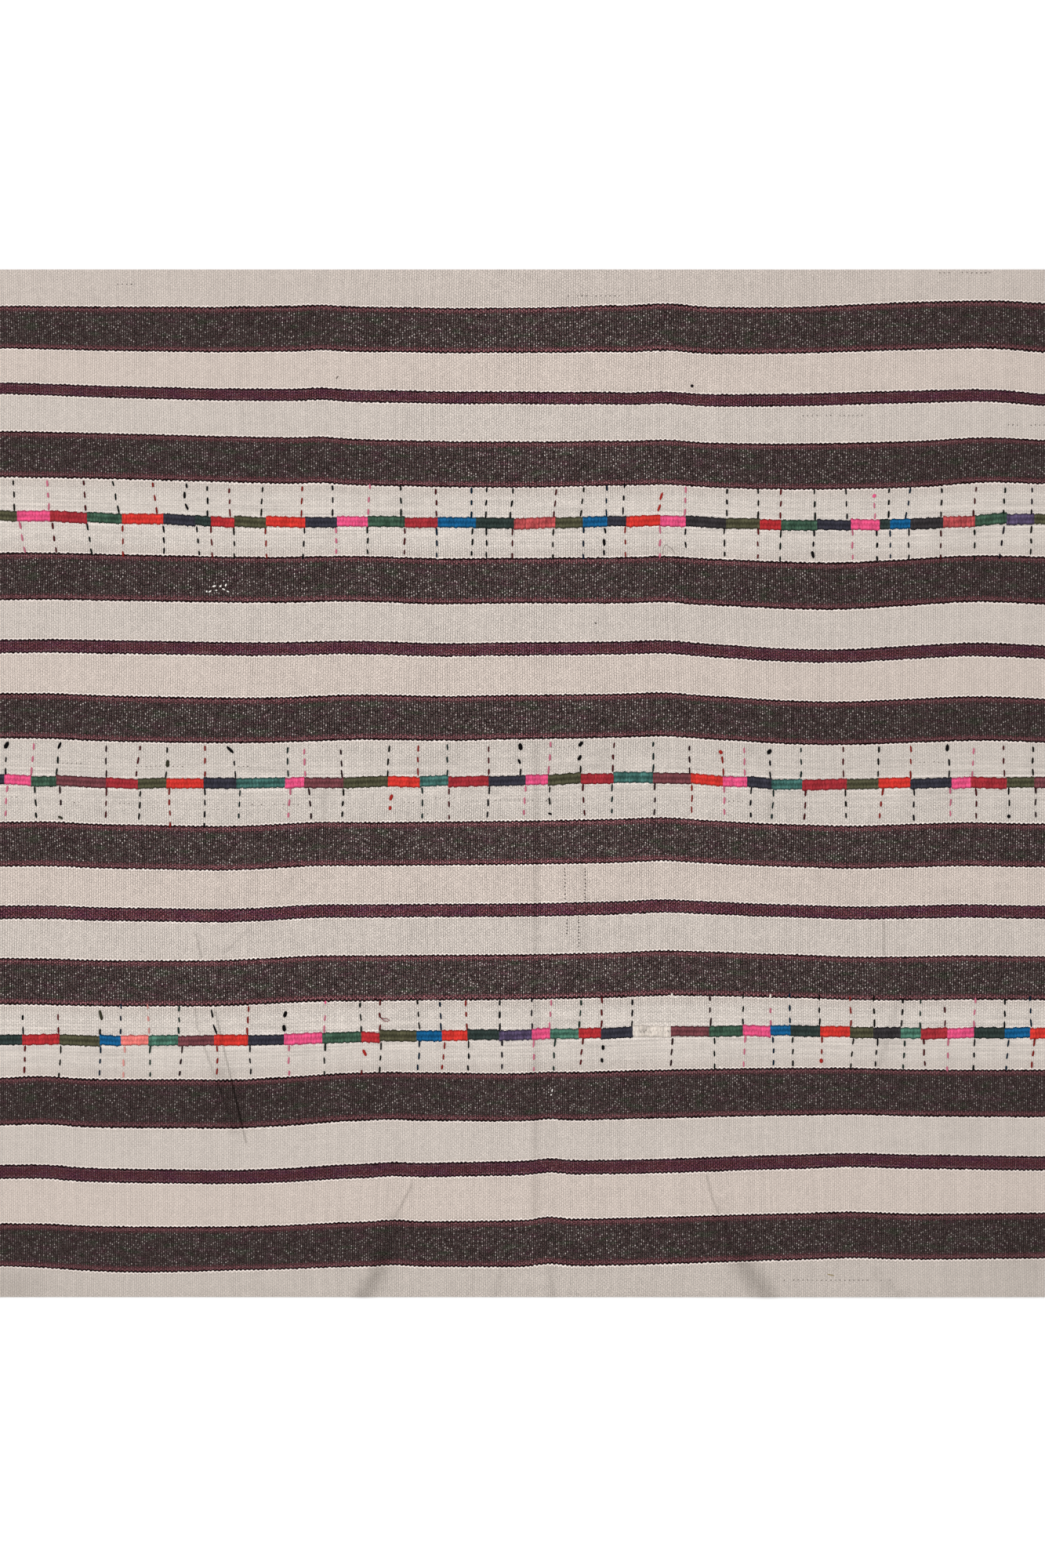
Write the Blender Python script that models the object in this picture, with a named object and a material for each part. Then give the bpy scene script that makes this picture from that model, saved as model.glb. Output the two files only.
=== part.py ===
"""Kilim rug, lying flat: four narrow hand-woven bands, laid edge to edge for sewing.

Each band is one piece of striped cloth. It runs along X, and its long edges are its selvedges.
The bands meet at three seams, which wander a little as hand-woven cloth does. The outer selvedges
are straight. Metres, +Z up, with the origin at the middle of the underside.
"""

import math

import bmesh
import bpy

# Driving sizes
LENGTH = 1.000  # along the bands, from end to end
WIDTH = 0.970  # across the four bands
THICK = 0.0026  # one layer of cloth
SEAM_GAP = 0.0003  # between two bands, where the sewing thread passes
EDGE_ROUND = 0.0009  # how far a selvedge and an end round off

# How the cloth is divided along and across
STEPS_ALONG = 40
ROUND_STEPS = 3

MM = 0.001

# Where each line between bands lies, in millimetres from the middle of the rug, at evenly spaced
# stations from the left end to the right end. The outer selvedges are straight.
SEAMS_MM = {
    "selvedge_far": [485.0] * 9,
    "seam_far": [252.8, 249.8, 246.3, 246.7, 245.2, 248.0, 243.8, 245.0, 248.0],
    "seam_middle": [3.3, 0.0, -0.2, 1.5, 2.6, 5.2, -0.7, 0.4, 0.7],
    "seam_near": [-242.0, -242.8, -242.6, -238.8, -237.2, -234.6, -233.6, -236.0, -235.5],
    "selvedge_near": [-485.0] * 9,
}

# Undyed wool over most of each band, a little greyer in the outer two
BANDS = [
    {"name": "band_1", "far": "selvedge_far", "near": "seam_far", "wool": "#CABFB6"},
    {"name": "band_2", "far": "seam_far", "near": "seam_middle", "wool": "#CCC1B8"},
    {"name": "band_3", "far": "seam_middle", "near": "seam_near", "wool": "#CBC0B6"},
    {"name": "band_4", "far": "seam_near", "near": "selvedge_near", "wool": "#C6BCB2"},
]
WOOL_ROUGHNESS = 0.92


def linear_colour(hex_colour):
    """An sRGB hex colour as the linear values that a shader takes."""
    shares = [int(hex_colour[i : i + 2], 16) / 255 for i in (1, 3, 5)]
    return [s / 12.92 if s <= 0.04045 else ((s + 0.055) / 1.055) ** 2.4 for s in shares] + [1.0]


def line_at(name, x):
    """The line's Y at X, on a smooth curve through its stations (Catmull-Rom)."""
    values = SEAMS_MM[name]
    last = len(values) - 1
    place = (x / LENGTH + 0.5) * last
    i = min(max(math.floor(place), 0), last - 1)
    t = place - i
    before, start, end, after = (values[min(max(i + k, 0), last)] for k in (-1, 0, 1, 2))
    bend = 2 * before - 5 * start + 4 * end - after
    twist = 3 * (start - end) + after - before
    return MM * (start + 0.5 * t * (end - before + t * (bend + t * twist)))


def section(x, near, far, drawn_in):
    """The band cut across at X: a flat outline with both selvedges rounded.

    drawn_in is 0 along the band, and 1 at an end face, which rounds off like the selvedges.
    """
    inset = drawn_in * EDGE_ROUND
    low, high = inset, THICK - inset
    radius = min(EDGE_ROUND, (high - low) / 2)
    sides = ((far - inset - radius, 1), (near + inset + radius, -1))
    points = []
    for y, side in sides:
        quarters = ((high - radius, 90), (low + radius, 0)) if side > 0 else (
            (low + radius, 270), (high - radius, 180))
        for z, first in quarters:
            for step in range(ROUND_STEPS + 1):
                turn = math.radians(first - 90 * step / ROUND_STEPS)
                points.append((x, y + radius * math.cos(turn), z + radius * math.sin(turn)))
    return points


def stations():
    """X of each section with its draw-in: the two ends round off, and the rest are evenly spaced."""
    half = LENGTH / 2
    places = [(-half, 1.0), (-half + EDGE_ROUND, 0.0)]
    for step in range(1, STEPS_ALONG):
        places.append((-half + LENGTH * step / STEPS_ALONG, 0.0))
    return places + [(half - EDGE_ROUND, 0.0), (half, 1.0)]


def seam_edge(name, x, side):
    """A band's own edge beside the line: half the gap back from a seam, and on an outer selvedge."""
    gap = SEAM_GAP / 2 if name.startswith("seam") else 0.0
    return line_at(name, x) + side * gap


def wool_material(name, hex_colour):
    material = bpy.data.materials.new(name)
    material.use_nodes = True
    shader = material.node_tree.nodes["Principled BSDF"]
    shader.inputs["Base Color"].default_value = linear_colour(hex_colour)
    shader.inputs["Roughness"].default_value = WOOL_ROUGHNESS
    shader.inputs["Metallic"].default_value = 0.0
    return material


def add_band(name, far, near, wool):
    """One woven band, lofted through its sections from the left end to the right end."""
    mesh = bpy.data.meshes.new(name)
    build = bmesh.new()
    rings = []
    for x, drawn_in in stations():
        points = section(x, seam_edge(near, x, 1), seam_edge(far, x, -1), drawn_in)
        rings.append([build.verts.new(point) for point in points])
    for ring, following in zip(rings, rings[1:]):
        for i, corner in enumerate(ring):
            j = (i + 1) % len(ring)
            build.faces.new((corner, ring[j], following[j], following[i]))
    build.faces.new(rings[0][::-1])
    build.faces.new(rings[-1])
    bmesh.ops.remove_doubles(build, verts=build.verts, dist=1e-7)
    bmesh.ops.recalc_face_normals(build, faces=build.faces)
    build.to_mesh(mesh)
    build.free()
    mesh.shade_smooth()
    mesh.set_sharp_from_angle(angle=math.radians(50))
    band = bpy.data.objects.new(name, mesh)
    band.data.materials.append(wool_material(f"{name}_wool", wool))
    bpy.context.collection.objects.link(band)
    return band


for leftover in list(bpy.data.objects):
    bpy.data.objects.remove(leftover)

for row in BANDS:
    add_band(**row)
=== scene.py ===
"""Kilim rug: four narrow hand-woven bands of striped wool, sewn edge to edge, lying flat.

The frame is in metres, +Z up, with the bands along X and the rug's underside at z = 0.
"""

import functools
import math
import random

import bpy
import numpy as np
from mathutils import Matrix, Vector


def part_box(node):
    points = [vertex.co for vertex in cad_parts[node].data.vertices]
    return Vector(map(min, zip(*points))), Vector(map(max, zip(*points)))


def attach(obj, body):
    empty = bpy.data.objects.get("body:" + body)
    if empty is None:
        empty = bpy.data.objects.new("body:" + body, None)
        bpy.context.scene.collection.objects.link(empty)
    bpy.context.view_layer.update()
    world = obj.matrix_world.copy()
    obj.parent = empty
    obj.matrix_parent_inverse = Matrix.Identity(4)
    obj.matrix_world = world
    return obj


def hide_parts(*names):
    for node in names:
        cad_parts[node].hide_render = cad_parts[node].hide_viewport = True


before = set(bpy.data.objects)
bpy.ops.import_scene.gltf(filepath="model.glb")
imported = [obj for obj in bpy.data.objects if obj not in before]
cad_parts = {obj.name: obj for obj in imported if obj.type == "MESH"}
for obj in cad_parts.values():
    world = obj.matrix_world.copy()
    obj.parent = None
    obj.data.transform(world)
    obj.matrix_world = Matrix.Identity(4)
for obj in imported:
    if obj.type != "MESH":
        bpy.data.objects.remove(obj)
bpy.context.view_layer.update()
bpy.ops.object.select_all(action="DESELECT")

# ------------------------------------------------------------------------------------------
# The bands
# Four strips of warp-faced plain weave, each woven on a narrow loom from handspun sheep's wool.
# The warps run the whole length along X, packed so tightly that they hide the wefts, and each
# weft shows only as a rib across the cloth. The stripes are warps of brown and dyed wool.
# ------------------------------------------------------------------------------------------

MM = 0.001
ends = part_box("band_1")
LEFT, RIGHT = ends[0].x, ends[1].x
RUG_LENGTH = RIGHT - LEFT
CLOTH_TOP = ends[1].z  # the crests of the ribs
CLOTH_UNDER = 0.25 * MM  # the cloth is held this far off the floor by the stitches under it
RIB_DEPTH = 0.30 * MM
EDGE_ROUND = 0.9 * MM
SEAM_GAP = 0.3 * MM
SEAM_DIP = 0.35 * MM  # how far the sewing draws the selvedges down
YARNS = 152  # warps across each band
YARN_PITCH = 1.6 * MM
COLUMNS_TO_A_RIB = 4  # of the mesh's points
ROWS_ON_TOP = 24  # of faces across a band's upper face
ROWS_UNDER = 4

# Y of each line between two bands, in mm, at nine even stations from the left end to the right.
LINES_MM = {
    "selvedge_far": [485.0] * 9,
    "seam_far": [252.8, 249.8, 246.3, 246.7, 245.2, 248.0, 243.8, 245.0, 248.0],
    "seam_middle": [3.3, 0.0, -0.2, 1.5, 2.6, 5.2, -0.7, 0.4, 0.7],
    "seam_near": [-242.0, -242.8, -242.6, -238.8, -237.2, -234.6, -233.6, -236.0, -235.5],
    "selvedge_near": [-485.0] * 9,
}

# Each band's ribs are as far apart as its weaver beat them (mm at the left, middle and right).
# "relief" is how strongly the weave stands out, at five even stations from the left end: it has
# been trodden flatter towards the ends, and most in the nearest band.
# "wander" is how far the stripes stray from even spacing, in mm, at the same nine stations:
# along the far selvedge, the first dark stripe, the plum stripe, the second dark stripe and
# the near selvedge. A "hump" is a place where the warps were pulled aside in the
# beating: (x, half width, rise at the far edge, rise at the near edge), in mm.
# "chart" is the order of warping from the far edge: (wool, number of yarns).
BANDS = [
    {
        "node": "band_1",
        "far": "selvedge_far",
        "near": "seam_far",
        "rib_mm": (2.07, 2.25, 2.13),
        "relief": (0.70, 0.68, 1.0, 0.80, 0.58),
        "wander": [
            (-3, -1, 0.5, -3, -4, 0.5, -1.5, 5, 5),
            (-0.5, -2, -1, -1, -1, -2.5, -1, 2, -2),
            (5, 2.5, 2, 0, -0.5, -4.5, -2, 0, -5.5),
            (4, 4.5, 4, 0, -0.5, -2.5, -1.5, -0.5, -1),
            (0, 0.5, 0, 0, 0.5, 0.5, 0, 0, 0.5),
        ],
        "humps": [
            (-290, 24, -1.1, 0.2), (-190, 14, 1.8, 1.6), (-62, 26, -0.9, -0.4),
            (75, 22, 2.1, 0.6), (134, 20, 3.8, 1.6), (424, 24, -0.9, 1.2),
            (443, 35, 3.3, 3.3),
        ],
        "chart": [
            ("dull cream", 21.5), ("dark stripe", 28), ("warm cream", 23.15),
            ("plum stripe", 7.7), ("cream", 22.15), ("dark stripe", 28), ("grey cream", 5),
            ("pale cream", 16.5),
        ],
    },
    {
        "node": "band_2",
        "far": "seam_far",
        "near": "seam_middle",
        "rib_mm": (2.16, 2.28, 2.16),
        "relief": (0.76, 0.90, 1.02, 0.80, 0.58),
        "wander": [
            (0, 0, 0, 0, 0.5, 0, 0.5, 0.5, 0.5),
            (-1, 1, 2, 1.5, 1.5, -2.5, -1.5, 0, -1.5),
            (-1, 1.5, 1.5, 1.5, 1, -1.5, -2.5, -1.5, -3.5),
            (0, -0.5, -1, 1.5, 1, -1, -1, -1.5, -3),
            (0, 0, 0.5, 0, 0, 0, 0.5, 0.5, 0.5),
        ],
        "humps": [
            (-440, 24, 0.4, 1.0), (-172, 28, 1.3, 0.3), (-76, 32, -1.6, -1.6),
            (134, 20, 2.0, 1.8), (195, 24, 0.6, 0.9), (303, 30, -1.6, -1.2),
            (412, 28, 1.9, 0.3), (443, 35, 2.2, 2.2),
        ],
        "chart": [
            ("pale cream", 15.5), ("grey cream", 5.3), ("dark stripe", 27.4),
            ("cream", 22.55), ("plum stripe", 8), ("warm cream", 23.05),
            ("dark stripe", 26.4), ("worn cream", 23.8),
        ],
    },
    {
        "node": "band_3",
        "far": "seam_middle",
        "near": "seam_near",
        "rib_mm": (2.21, 2.09, 2.26),
        "relief": (0.87, 1.0, 1.12, 0.97, 0.80),
        "wander": [
            (0, 0, 0, 0, 0.5, 0, 0, 0, 0),
            (-0.5, 0, -0.5, 0.5, 0.5, -0.5, -0.5, -1, -1),
            (0, 0, 0, 0.5, 0, -0.5, -1, -1.5, -2),
            (0.5, -0.5, 2, 1.5, 1, 0.5, -0.5, -1.5, -1.5),
            (0, -0.5, 0, 0, 0, 0, 0, 0, 0),
        ],
        "humps": [
            (-445, 22, 1.7, 0), (-290, 28, -0.7, -1.2), (-195, 28, 2.1, 1.0),
            (134, 20, 1.8, 1.6), (185, 22, 0.2, 1.2), (313, 28, -1.5, -0.9),
            (420, 26, 1.5, 1.0),
        ],
        "chart": [
            ("worn cream", 24.3), ("dark stripe", 26.4), ("warm cream", 22.7),
            ("plum stripe", 8.2), ("cream", 22.75), ("dark stripe", 27.3),
            ("grey cream", 4.75), ("pale cream", 15.6),
        ],
    },
    {
        "node": "band_4",
        "far": "seam_near",
        "near": "selvedge_near",
        "rib_mm": (2.04, 2.04, 2.04),
        "relief": (0.52, 0.60, 0.76, 0.66, 0.52),
        "wander": [
            (0, 0, 0, 0, -0.5, 0, 0, 0, 0),
            (-1.5, -2.5, -1.5, 1.5, -1, 0, 1.5, 2.5, 1.5),
            (-1.5, -5, -5.5, -2.5, -0.5, 0, 3.5, 5, 3),
            (-4, -6.5, -6, -3.5, -2.5, 0, 3, 3, 5),
            (2, -7.5, -4, -1.5, -3, -1.5, 3.5, 6, 6),
        ],
        "humps": [
            (-452, 18, 2.8, 0), (-275, 18, -1.2, 0.3), (-168, 30, 1.4, 0.9),
            (-122, 12, 0, 2.5), (25, 11, 0.7, 3.7), (313, 26, 0.6, 2.2),
        ],
        "chart": [
            ("pale cream", 16), ("grey cream", 5.65), ("dark stripe", 28.2), ("cream", 22.9),
            ("plum stripe", 8.5), ("warm cream", 24.75), ("dark stripe", 27),
            ("shaded cream", 19),
        ],
    },
]
WANDER_SHARES = (0.0, 0.235, 0.507, 0.77, 1.0)  # where across a band each wander line lies

# Soft folds left from storing the rug: (its path, half width and rise in mm, and how much dust
# and painted shade it holds, from 0 to 1).
CREASES = [
    ([(12, 36), (12, -120), (12, -415)], 4.0, 0.7, 0.16),
    ([(-308, -143), (-303, -164)], 1.8, 0.5, 0.28),
    ([(-309, -213), (-307, -230), (-293, -269), (-277, -312)], 1.8, 0.6, 0.26),
    ([(-290, -215), (-281, -254), (-266, -317), (-261, -339)], 1.8, 0.8, 0.40),
    ([(-286, -270), (-272, -322)], 7.0, 0.2, 0.24),
    ([(-259, -138), (-282, -161)], 2.4, 0.4, 0.16),
    ([(-212, -81), (-231, -112), (-245, -130)], 3.0, 0.5, 0.12),
    ([(-190, -4), (-186, -34)], 3.0, 0.4, 0.12),
    ([(213, 36), (236, 7), (232, -34)], 3.0, 0.5, 0.14),
    ([(273, -82), (310, -115)], 4.0, 0.4, 0.08), ([(341, -128), (341, -162)], 2.2, 0.5, 0.26),
    ([(353, -208), (336, -269)], 2.6, 0.6, 0.20), ([(58, -82), (58, -156)], 3.0, 0.4, 0.08),
    ([(-105, -380), (-114, -398), (-121, -409)], 2.4, 0.8, 0.26),
    ([(-121, -409), (-126, -428), (-131, -446)], 6.0, 1.0, 0.20),
    ([(-131, -446), (-138, -463), (-151, -485)], 8.5, 1.2, 0.40),
    ([(174, -371), (179, -391), (185, -406)], 2.2, 0.8, 0.28),
    ([(185, -406), (193, -426), (205, -450)], 5.5, 1.0, 0.20),
    ([(205, -450), (217, -466), (231, -485)], 10.5, 1.2, 0.38),
    ([(-20, -460), (-26, -482)], 3.0, 0.5, 0.14), ([(25, -456), (28, -485)], 3.0, 0.5, 0.14),
    ([(332, -463), (358, -485)], 4.0, 0.5, 0.14),
]
SHARP_FOLD = 2.5  # mm: a narrower fold slips between the mesh's rows, so nodes draw its dust and painted shade

# Places that have gone a little grey from use: (x, y, half width, half depth) in mm, and how much.
SOILED = [
    (-480, -475, 28, 16, 0.20), (472, -445, 45, 55, 0.10), (-68, 25, 12, 8, 0.12),
    (73, 25, 12, 8, 0.10), (417, -330, 18, 12, 0.08),
]


def smooth_line(stations, x):
    """The value at each x on a smooth curve through evenly spaced stations along the rug."""
    values = np.asarray(stations, float)
    last = len(values) - 1
    place = (np.asarray(x, float) / RUG_LENGTH + 0.5) * last
    i = np.clip(np.floor(place).astype(int), 0, last - 1)
    t = place - i
    before, start, end, after = (values[np.clip(i + k, 0, last)] for k in (-1, 0, 1, 2))
    bend = 2 * before - 5 * start + 4 * end - after
    twist = 3 * (start - end) + after - before
    return start + 0.5 * t * (end - before + t * (bend + t * twist))


def line_y(name, x):
    """Y in metres of a seam or selvedge at each x."""
    return MM * smooth_line(LINES_MM[name], x)


def fold_marks(x, y, narrowest=0.0):
    """How high the cloth is lifted by its folds at each point, and how much dust and painted shade
    lie there.

    A fold narrower than the narrowest one asked for lifts the cloth, but adds no dust or painted
    shade.
    """
    x, y = np.broadcast_arrays(np.asarray(x, float), np.asarray(y, float))
    slow = np.sin(9.0 * x + 3.1 * y) * np.cos(13.0 * y - 4.0 * x + 0.8)
    slower = np.sin(5.2 * x - 8.3 * y + 1.9)
    lift = MM * (0.55 + 0.35 * slow + 0.20 * slower)
    dust_and_shade = np.zeros_like(x)
    for path, width, rise, dust_and_shade_amount in CREASES:
        near = np.full(x.shape, 1.0)
        path = [(MM * px, MM * py) for px, py in path]
        for (ax, ay), (bx, by) in zip(path, path[1:]):
            dx, dy = bx - ax, by - ay
            along = np.clip(((x - ax) * dx + (y - ay) * dy) / (dx * dx + dy * dy), 0, 1)
            near = np.minimum(near, np.hypot(x - ax - along * dx, y - ay - along * dy))
        shape = np.exp(-((near / (MM * width)) ** 2))
        lift = lift + MM * rise * shape
        if width >= narrowest:
            dust_and_shade = np.maximum(dust_and_shade, dust_and_shade_amount * shape)
    for at_x, at_y, half_width, half_depth, amount in SOILED:
        off = ((x / MM - at_x) / half_width) ** 2 + ((y / MM - at_y) / half_depth) ** 2
        dust_and_shade = np.maximum(dust_and_shade, amount * np.exp(-off))
    return lift, dust_and_shade


def rib_columns(rib_mm):
    """X of each mesh column and its place in ribs, counted from the left end."""
    fine = np.linspace(LEFT, RIGHT, 4001)
    pitch = MM * np.interp(fine, [LEFT, 0, RIGHT], rib_mm)
    count = np.concatenate([[0], np.cumsum(2 * np.diff(fine) / (pitch[1:] + pitch[:-1]))])
    columns = int(count[-1] * COLUMNS_TO_A_RIB)
    ribs = np.linspace(0, count[-1], columns + 1)
    return np.interp(ribs, count, fine), ribs


def yarn_place(band, x, y):
    """Which warp lies at each point, counted from the band's far edge."""
    far = line_y(band["far"], x)
    near = line_y(band["near"], x)
    share = (far - y) / (far - near)
    lines = np.stack([smooth_line(line, x) for line in band["wander"]])
    place = np.clip(share, 0, 1)
    stray = lines[0]
    for k, (low, high) in enumerate(zip(WANDER_SHARES, WANDER_SHARES[1:])):
        part = np.clip((place - low) / (high - low), 0, 1)
        stray = stray + (lines[k + 1] - lines[k]) * part * part * (3 - 2 * part)
    for at, half_width, far_rise, near_rise in band["humps"]:
        shape = np.exp(-(((x / MM - at) / half_width) ** 2) / 2)
        edge = np.minimum(1, 6 * np.minimum(place, 1 - place))
        stray = stray + shape * edge * (far_rise * (1 - place) + near_rise * place)
    return YARNS * (share + MM * stray / (far - near))


def across_outline():
    """The band cut across: for each ring point, its share across, inset and height share."""
    top = [(k / ROWS_ON_TOP, EDGE_ROUND, 1.0) for k in range(ROWS_ON_TOP + 1)]
    under = [(1 - k / ROWS_UNDER, EDGE_ROUND, 0.0) for k in range(ROWS_UNDER + 1)]
    side = [(0.25 * MM, 0.85), (0, 0.5), (0.25 * MM, 0.15)]
    near_side = [(1, inset, level) for inset, level in side]
    far_side = [(0, inset, level) for inset, level in side[::-1]]
    return np.array(top + near_side + under + far_side)


def close_tubes(name, points):
    """A mesh of closed tubes, from its points by tube, by ring along it and by place around it."""
    count, steps, sides = points.shape[:3]
    n, k, j = np.meshgrid(np.arange(count), np.arange(steps - 1), np.arange(sides), indexing="ij")
    ring = (n * steps + k) * sides
    after = (j + 1) % sides
    quads = np.stack([ring + j, ring + after, ring + sides + after, ring + sides + j], axis=-1)
    first = (np.arange(count) * steps * sides)[:, None] + np.arange(sides)
    faces = quads.reshape(-1, 4).tolist()
    faces += first[:, ::-1].tolist()
    faces += (first + (steps - 1) * sides).tolist()
    mesh = bpy.data.meshes.new(name)
    mesh.from_pydata(points.reshape(-1, 3).tolist(), [], faces)
    mesh.update()
    return mesh


def corner_uvs(along, around):
    """The UVs of every quad's corners on closed tubes, from the lines along and around them."""
    start, end = along[..., :-1, None], along[..., 1:, None]
    low, high = around[..., None, :-1], around[..., None, 1:]
    corners = []
    for u, v in ((start, low), (start, high), (end, high), (end, low)):
        corners.append(np.stack(np.broadcast_arrays(u, v), axis=-1))
    return np.stack(corners, axis=-2).reshape(-1, 2)


def weave_band(band):
    """One band as a closed sheet, ribbed above and below, with its yarn counts as a UV map."""
    share, inset, level = across_outline().T
    ring = len(share)
    xs, ribs = rib_columns(band["rib_mm"])
    x = np.repeat(xs[:, None], ring, axis=1)
    far = line_y(band["far"], x) - (SEAM_GAP / 2 if band["far"].startswith("seam") else 0)
    near = line_y(band["near"], x) + (SEAM_GAP / 2 if band["near"].startswith("seam") else 0)
    y = far - inset + (near + 2 * inset - far) * share
    y = np.where(share == 1, near + inset, y)

    # The ribs stray a little from straight across, and keep to the cut ends of the rug.
    from_end = np.minimum(x - LEFT, RIGHT - x)
    stray = 0.9 * np.sin(14 * y + 6 * x) + 0.6 * np.sin(37 * y - 11 * x + ribs[0])
    x = x + MM * stray * np.clip(from_end / 0.02, 0, 1)

    lift, dust_and_shade = fold_marks(x, y, SHARP_FOLD)
    crest = np.abs(np.sin(math.pi * ribs))[:, None] ** 0.7
    top = CLOTH_TOP - RIB_DEPTH * (1 - crest)
    under = CLOTH_UNDER + RIB_DEPTH * (1 - crest)
    # The cloth is thinner over the last 3 mm to a selvedge, and the sewing lies in that dip.
    to_edge = np.minimum(share, 1 - share) * np.abs(far - near)
    top = top - SEAM_DIP * np.exp(-to_edge / (3 * MM)) * (level > 0.4)
    middle = (top + under) / 2
    z = under + (top - under) * level
    closing = np.sqrt(np.clip(1 - (1 - from_end / EDGE_ROUND) ** 2, 0.08, 1))
    closing = np.where(from_end >= EDGE_ROUND, 1.0, closing)
    z = middle + (z - middle) * closing + lift

    mesh = close_tubes(f"{band['node']}_cloth", np.stack([x, y, z], axis=-1)[None])

    # UV map "weave": ribs along, yarns across.
    yarns = yarn_place(band, x, y)
    loops = np.empty(len(mesh.loops), int)
    mesh.loops.foreach_get("vertex_index", loops)
    weave = np.stack([np.repeat(ribs, ring), yarns.reshape(-1)], axis=-1)[loops]
    mesh.uv_layers.new(name="weave").data.foreach_set("uv", weave.reshape(-1))

    # UV map "OFBake": the outline unrolled, so that the upper face has 0.6 of the height.
    side = [0.006] * 4
    size = np.array([0.6 / ROWS_ON_TOP] * ROWS_ON_TOP + side + [0.36 / ROWS_UNDER] * ROWS_UNDER
                    + side)
    rolled = 0.002 + 0.992 * np.concatenate([[0], np.cumsum(size)]) / size.sum()
    along = 0.003 + 0.994 * (xs - LEFT) / RUG_LENGTH
    cap_height = 0.0015 * level
    left_cap = np.stack([0.0004 + cap_height, 0.002 + 0.6 * share], axis=-1)[::-1]
    right_cap = np.stack([0.9996 - cap_height, 0.002 + 0.6 * share], axis=-1)
    unrolled = np.concatenate([corner_uvs(along, rolled), left_cap, right_cap])
    mesh.uv_layers.new(name="OFBake").data.foreach_set("uv", unrolled.reshape(-1))

    # This attribute holds each point's dust and the painted shade of its folds.
    dust_and_shade_layer = mesh.attributes.new("dust_and_shade", "FLOAT", "POINT")
    dust_and_shade_layer.data.foreach_set("value", dust_and_shade.reshape(-1))
    mesh.shade_smooth()
    cloth = bpy.data.objects.new(f"{band['node']}_cloth", mesh)
    bpy.context.scene.collection.objects.link(cloth)
    return cloth


def linear(hex_colour):
    """An sRGB hex colour as the linear values that a shader takes."""
    shares = [int(hex_colour[i : i + 2], 16) / 255 for i in (1, 3, 5)]
    return [s / 12.92 if s <= 0.04045 else ((s + 0.055) / 1.055) ** 2.4 for s in shares] + [1.0]


def add_node(tree, kind, *feeds, **named):
    """Adds a node and gives its output. Its kind may be followed by its operation.

    The feeds are values or links, for its sockets in their order: Map Range's are the value, from
    low, from high, to low, to high. A name with a capital is a socket too, others are settings.
    """
    kind, *operation = kind.split()
    node = tree.nodes.new(f"ShaderNode{kind}")
    if operation:
        node.operation = operation[0]
    sockets = {name.replace("_", " "): named.pop(name) for name in list(named)
               if not name.islower()}
    for name, value in named.items():
        setattr(node, name, value)
    live = [socket for socket in node.inputs if socket.enabled]
    pairs = list(zip(live, feeds)) + [(s, sockets[s.name]) for s in live if s.name in sockets]
    for socket, value in pairs:
        if isinstance(value, bpy.types.NodeSocket):
            tree.links.new(value, socket)
        else:
            socket.default_value = value
    return next((s for s in node.outputs if s.enabled), None)


# The undyed wool of each field, which differs from fleece to fleece. The first field of the far
# band and the last field of the near band are painted darker, as shade.
FLEECES = {
    "cream": "#C3B9B1",
    "warm cream": "#C6B9B0",
    "pale cream": "#C8BFB7",
    "grey cream": "#C2B8B0",
    "worn cream": "#C3BAB2",
    "dull cream": "#C0B5AD",
    "shaded cream": "#BDB3AB",
}
# Across a stripe from its edge inwards: (depth in yarns, the wool from there on, how much of it
# shows). The first yarn outside the stripe is painted palest, a painted highlight where its
# neighbour holds it up, and the stripe's first yarn is painted near black, as shade where its
# floats go down into the cloth.
STRIPES = {
    "dark stripe": [
        (-1.7, "#B5AAA0", 0.35), (-0.62, "#FFF1EA", 0.8), (0.0, "#0A0000", 1.0),
        (1.12, "#553639", 1.0), (2.5, "#432A2C", 1.0), (3.8, "#2F2524", 1.0),
    ],
    "plum stripe": [
        (-1.7, "#B5AAA0", 0.35), (-0.62, "#FFF1EA", 0.8), (0.0, "#0D0102", 1.0),
        (1.12, "#553A3F", 1.0), (1.8, "#44262A", 1.0),
    ],
}
EDGE_SPAN = 8.0  # yarns on either side of a stripe's edge that its colours are read over
EDGE_BLUR = 0.24  # yarns, half of what one colour takes to turn into the next
FIELD_JOIN = 1.5  # yarns from a field's edge to where its own wool is all that shows
MEAN_SHADE = 0.164  # how much of the light the furrows and gaps take away on the whole
PALE_WEFT = "#E2D8D2"
# The grey that dust and the painted shade of the folds multiply into the wool.
DUST_AND_SHADE = "#7D7B74"


def sharp_folds(add, band, where):
    """The dust and painted shade that lie along the narrow folds which cross a band. add adds its
    nodes.
    """
    dust_and_shade = 0.0
    flat = add("VectorMath MULTIPLY", where, (1.0, 1.0, 0.0))
    highest = max(LINES_MM[band["far"]])
    lowest = min(LINES_MM[band["near"]])
    for path, width, _, dust_and_shade_amount in CREASES:
        heights = [y for _, y in path]
        if width >= SHARP_FOLD or max(heights) < lowest or min(heights) > highest:
            continue
        away = None
        points = [Vector((MM * x, MM * y, 0.0)) for x, y in path]
        for start, end in zip(points, points[1:]):
            step = end - start
            off = add("VectorMath SUBTRACT", flat, start)
            share = add("VectorMath DOT_PRODUCT", off, step / step.length_squared)
            share = add("Math MULTIPLY", share, 1.0, use_clamp=True)
            foot = add("VectorMath SCALE", step, share)
            gap = add("VectorMath DISTANCE", off, foot)
            away = gap if away is None else add("Math MINIMUM", away, gap)
        mark = add("MapRange", away, 0.0, 1.1 * MM * width, dust_and_shade_amount, 0.0,
                   interpolation_type="SMOOTHSTEP")
        dust_and_shade = add("Math MAXIMUM", dust_and_shade, mark)
    return dust_and_shade


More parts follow.
